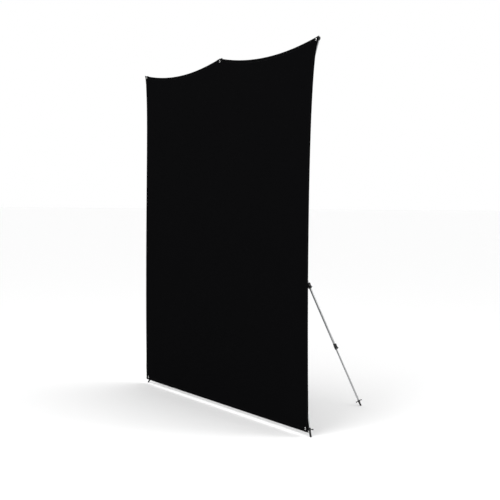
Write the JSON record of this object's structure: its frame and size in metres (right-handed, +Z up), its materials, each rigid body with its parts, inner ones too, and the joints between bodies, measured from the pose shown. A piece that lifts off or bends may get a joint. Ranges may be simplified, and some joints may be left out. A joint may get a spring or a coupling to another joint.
{
  "type": "collapsible backdrop panel",
  "caption": "Free-standing black cloth backdrop held square on the tips of a folding, telescopic aluminium spider frame.",
  "frame": {"origin": "on the floor, under the middle of the opened panel", "axes": "+X to the right seen from the front of the cloth, +Y backwards from the cloth to the rear legs, +Z up"},
  "size_m": [2.6084, 0.953, 2.4442],
  "materials": {
    "tube": "satin clear-anodised drawn tube",
    "lock_moulding": "moulded glass-filled nylon",
    "tip_moulding": "moulded nylon cap, cleat and rubber foot",
    "hub_moulding": "moulded glass-filled nylon",
    "fastener": "zinc-plated",
    "foot_rubber": "moulded",
    "grommet": "nickel-plated pressed brass",
    "cloth": "matte black wrinkle-resistant polyester knit"
  },
  "bodies": {
    "hub": {"hub_body": "hub_moulding", "hub_front_cover": "hub_moulding", "hub_bolt": "fastener", "hub_washer": "fastener", "hub_nut": "fastener"},
    "top_left_arm_outer": {"top_left_arm_outer_tube": "tube", "top_left_arm_upper_lock": "lock_moulding"},
    "top_left_arm_upper_lever": {"top_left_arm_upper_lever": "lock_moulding"},
    "top_left_arm_middle": {"top_left_arm_middle_tube": "tube", "top_left_arm_lower_lock": "lock_moulding"},
    "top_left_arm_lower_lever": {"top_left_arm_lower_lever": "lock_moulding"},
    "top_left_arm_inner": {"top_left_arm_inner_tube": "tube", "top_left_arm_tip": "tip_moulding"},
    "top_centre_arm_outer": {"top_centre_arm_outer_tube": "tube", "top_centre_arm_upper_lock": "lock_moulding"},
    "top_centre_arm_upper_lever": {"top_centre_arm_upper_lever": "lock_moulding"},
    "top_centre_arm_inner": {"top_centre_arm_inner_tube": "tube", "top_centre_arm_tip": "tip_moulding"},
    "top_right_arm_outer": {"top_right_arm_outer_tube": "tube", "top_right_arm_upper_lock": "lock_moulding"},
    "top_right_arm_upper_lever": {"top_right_arm_upper_lever": "lock_moulding"},
    "top_right_arm_middle": {"top_right_arm_middle_tube": "tube", "top_right_arm_lower_lock": "lock_moulding"},
    "top_right_arm_lower_lever": {"top_right_arm_lower_lever": "lock_moulding"},
    "top_right_arm_inner": {"top_right_arm_inner_tube": "tube", "top_right_arm_tip": "tip_moulding"},
    "front_left_leg_outer": {"front_left_leg_outer_tube": "tube", "front_left_leg_upper_lock": "lock_moulding"},
    "front_left_leg_upper_lever": {"front_left_leg_upper_lever": "lock_moulding"},
    "front_left_leg_middle": {"front_left_leg_middle_tube": "tube", "front_left_leg_lower_lock": "lock_moulding"},
    "front_left_leg_lower_lever": {"front_left_leg_lower_lever": "lock_moulding"},
    "front_left_leg_inner": {"front_left_leg_inner_tube": "tube", "front_left_leg_tip": "tip_moulding"},
    "front_right_leg_outer": {"front_right_leg_outer_tube": "tube", "front_right_leg_upper_lock": "lock_moulding"},
    "front_right_leg_upper_lever": {"front_right_leg_upper_lever": "lock_moulding"},
    "front_right_leg_middle": {"front_right_leg_middle_tube": "tube", "front_right_leg_lower_lock": "lock_moulding"},
    "front_right_leg_lower_lever": {"front_right_leg_lower_lever": "lock_moulding"},
    "front_right_leg_inner": {"front_right_leg_inner_tube": "tube", "front_right_leg_tip": "tip_moulding"},
    "rear_left_leg_outer": {"rear_left_leg_outer_tube": "tube", "rear_left_leg_upper_lock": "lock_moulding"},
    "rear_left_leg_upper_lever": {"rear_left_leg_upper_lever": "lock_moulding"},
    "rear_left_leg_middle": {"rear_left_leg_middle_tube": "tube", "rear_left_leg_lower_lock": "lock_moulding"},
    "rear_left_leg_lower_lever": {"rear_left_leg_lower_lever": "lock_moulding"},
    "rear_left_leg_inner": {"rear_left_leg_inner_tube": "tube", "rear_left_leg_tip": "tip_moulding"},
    "rear_right_leg_outer": {"rear_right_leg_outer_tube": "tube", "rear_right_leg_upper_lock": "lock_moulding"},
    "rear_right_leg_upper_lever": {"rear_right_leg_upper_lever": "lock_moulding"},
    "rear_right_leg_middle": {"rear_right_leg_middle_tube": "tube", "rear_right_leg_lower_lock": "lock_moulding"},
    "rear_right_leg_lower_lever": {"rear_right_leg_lower_lever": "lock_moulding"},
    "rear_right_leg_inner": {"rear_right_leg_inner_tube": "tube", "rear_right_leg_tip": "tip_moulding"},
    "backdrop": {"backdrop_cloth": "cloth"}
  },
  "joints": [
    {"name": "top_left_arm_fold", "type": "hinge", "parent": "hub", "child": "top_left_arm_outer", "pos_m": [-0.03756, -0.01782, 1.49426], "axis": [-0.6012, 0, -0.7991], "range_deg": [0, 105.66]},
    {"name": "top_left_arm_upper_lever_flip", "type": "hinge", "parent": "top_left_arm_outer", "child": "top_left_arm_upper_lever", "pos_m": [-0.54653, -0.2, 1.89884], "axis": [0.2157, -0.9629, -0.1623], "range_deg": [0, 100]},
    {"name": "top_left_arm_middle_slide", "type": "slide", "parent": "top_left_arm_outer", "child": "top_left_arm_middle", "axis": [0.7694, 0.2699, -0.5789], "range_m": [0, 0.446]},
    {"name": "top_left_arm_lower_lever_flip", "type": "hinge", "parent": "top_left_arm_middle", "child": "top_left_arm_lower_lever", "pos_m": [-0.92446, -0.33225, 2.18129], "axis": [0.2157, -0.9629, -0.1623], "range_deg": [0, 100]},
    {"name": "top_left_arm_inner_slide", "type": "slide", "parent": "top_left_arm_middle", "child": "top_left_arm_inner", "axis": [0.7694, 0.2699, -0.5789], "range_m": [0, 0.4233]},
    {"name": "top_centre_arm_fold", "type": "hinge", "parent": "hub", "child": "top_centre_arm_outer", "pos_m": [0, -0.01782, 1.502], "axis": [-1, 0, 0], "range_deg": [0, 115.08]},
    {"name": "top_centre_arm_upper_lever_flip", "type": "hinge", "parent": "top_centre_arm_outer", "child": "top_centre_arm_upper_lever", "pos_m": [0, -0.30906, 2.08336], "axis": [-1, 0, 0], "range_deg": [0, 100]},
    {"name": "top_centre_arm_inner_slide", "type": "slide", "parent": "top_centre_arm_outer", "child": "top_centre_arm_inner", "axis": [0, 0.424, -0.9057], "range_m": [0, 0.3553]},
    {"name": "top_right_arm_fold", "type": "hinge", "parent": "hub", "child": "top_right_arm_outer", "pos_m": [0.03756, -0.01782, 1.49426], "axis": [-0.6012, 0, 0.7991], "range_deg": [0, 105.66]},
    {"name": "top_right_arm_upper_lever_flip", "type": "hinge", "parent": "top_right_arm_outer", "child": "top_right_arm_upper_lever", "pos_m": [0.54653, -0.2, 1.89884], "axis": [0.2157, 0.9629, 0.1623], "range_deg": [0, 100]},
    {"name": "top_right_arm_middle_slide", "type": "slide", "parent": "top_right_arm_outer", "child": "top_right_arm_middle", "axis": [-0.7694, 0.2699, -0.5789], "range_m": [0, 0.446]},
    {"name": "top_right_arm_lower_lever_flip", "type": "hinge", "parent": "top_right_arm_middle", "child": "top_right_arm_lower_lever", "pos_m": [0.92446, -0.33225, 2.18129], "axis": [0.2157, 0.9629, 0.1623], "range_deg": [0, 100]},
    {"name": "top_right_arm_inner_slide", "type": "slide", "parent": "top_right_arm_middle", "child": "top_right_arm_inner", "axis": [-0.7694, 0.2699, -0.5789], "range_m": [0, 0.4233]},
    {"name": "front_left_leg_fold", "type": "hinge", "parent": "hub", "child": "front_left_leg_outer", "pos_m": [-0.02433, -0.01782, 1.43681], "axis": [0.7681, 0, -0.6403], "range_deg": [0, 103.09]},
    {"name": "front_left_leg_upper_lever_flip", "type": "hinge", "parent": "front_left_leg_outer", "child": "front_left_leg_upper_lever", "pos_m": [-0.45858, -0.17072, 0.94287], "axis": [0.145, -0.974, 0.174], "range_deg": [0, 100]},
    {"name": "front_left_leg_middle_slide", "type": "slide", "parent": "front_left_leg_outer", "child": "front_left_leg_middle", "axis": [0.6236, 0.2265, 0.7482], "range_m": [0, 0.553]},
    {"name": "front_left_leg_lower_lever_flip", "type": "hinge", "parent": "front_left_leg_middle", "child": "front_left_leg_lower_lever", "pos_m": [-0.83972, -0.30957, 0.48328], "axis": [0.145, -0.974, 0.174], "range_deg": [0, 100]},
    {"name": "front_left_leg_inner_slide", "type": "slide", "parent": "front_left_leg_middle", "child": "front_left_leg_inner", "axis": [0.6236, 0.2265, 0.7482], "range_m": [0, 0.5594]},
    {"name": "front_right_leg_fold", "type": "hinge", "parent": "hub", "child": "front_right_leg_outer", "pos_m": [0.02433, -0.01782, 1.43681], "axis": [0.7681, 0, 0.6403], "range_deg": [0, 103.09]},
    {"name": "front_right_leg_upper_lever_flip", "type": "hinge", "parent": "front_right_leg_outer", "child": "front_right_leg_upper_lever", "pos_m": [0.45858, -0.17072, 0.94287], "axis": [0.145, 0.974, -0.174], "range_deg": [0, 100]},
    {"name": "front_right_leg_middle_slide", "type": "slide", "parent": "front_right_leg_outer", "child": "front_right_leg_middle", "axis": [-0.6236, 0.2265, 0.7482], "range_m": [0, 0.553]},
    {"name": "front_right_leg_lower_lever_flip", "type": "hinge", "parent": "front_right_leg_middle", "child": "front_right_leg_lower_lever", "pos_m": [0.83972, -0.30957, 0.48328], "axis": [0.145, 0.974, -0.174], "range_deg": [0, 100]},
    {"name": "front_right_leg_inner_slide", "type": "slide", "parent": "front_right_leg_middle", "child": "front_right_leg_inner", "axis": [-0.6236, 0.2265, 0.7482], "range_m": [0, 0.5594]},
    {"name": "rear_left_leg_fold", "type": "hinge", "parent": "hub", "child": "rear_left_leg_outer", "pos_m": [-0.02034, -0.01782, 1.39485], "axis": [0.9615, 0, -0.2748], "range_deg": [0, 71.69]},
    {"name": "rear_left_leg_upper_lever_flip", "type": "hinge", "parent": "rear_left_leg_outer", "child": "rear_left_leg_upper_lever", "pos_m": [-0.19873, 0.17693, 0.83365], "axis": [-0.0863, -0.9494, -0.302], "range_deg": [0, 100]},
    {"name": "rear_left_leg_middle_slide", "type": "slide", "parent": "rear_left_leg_outer", "child": "rear_left_leg_middle", "axis": [0.2609, -0.3141, 0.9128], "range_m": [0, 0.426]},
    {"name": "rear_left_leg_lower_lever_flip", "type": "hinge", "parent": "rear_left_leg_middle", "child": "rear_left_leg_lower_lever", "pos_m": [-0.31991, 0.32457, 0.40421], "axis": [-0.0863, -0.9494, -0.302], "range_deg": [0, 100]},
    {"name": "rear_left_leg_inner_slide", "type": "slide", "parent": "rear_left_leg_middle", "child": "rear_left_leg_inner", "axis": [0.2609, -0.3141, 0.9128], "range_m": [0, 0.3871]},
    {"name": "rear_right_leg_fold", "type": "hinge", "parent": "hub", "child": "rear_right_leg_outer", "pos_m": [0.02034, -0.01782, 1.39485], "axis": [0.9615, 0, 0.2748], "range_deg": [0, 71.69]},
    {"name": "rear_right_leg_upper_lever_flip", "type": "hinge", "parent": "rear_right_leg_outer", "child": "rear_right_leg_upper_lever", "pos_m": [0.19873, 0.17693, 0.83365], "axis": [-0.0863, 0.9494, 0.302], "range_deg": [0, 100]},
    {"name": "rear_right_leg_middle_slide", "type": "slide", "parent": "rear_right_leg_outer", "child": "rear_right_leg_middle", "axis": [-0.2609, -0.3141, 0.9128], "range_m": [0, 0.426]},
    {"name": "rear_right_leg_lower_lever_flip", "type": "hinge", "parent": "rear_right_leg_middle", "child": "rear_right_leg_lower_lever", "pos_m": [0.31991, 0.32457, 0.40421], "axis": [-0.0863, 0.9494, 0.302], "range_deg": [0, 100]},
    {"name": "rear_right_leg_inner_slide", "type": "slide", "parent": "rear_right_leg_middle", "child": "rear_right_leg_inner", "axis": [-0.2609, -0.3141, 0.9128], "range_m": [0, 0.3871]},
    {"name": "backdrop_lift_off", "type": "slide", "parent": "hub", "child": "backdrop", "axis": [0, -1, 0], "range_m": [0, 0.3]}
  ]
}
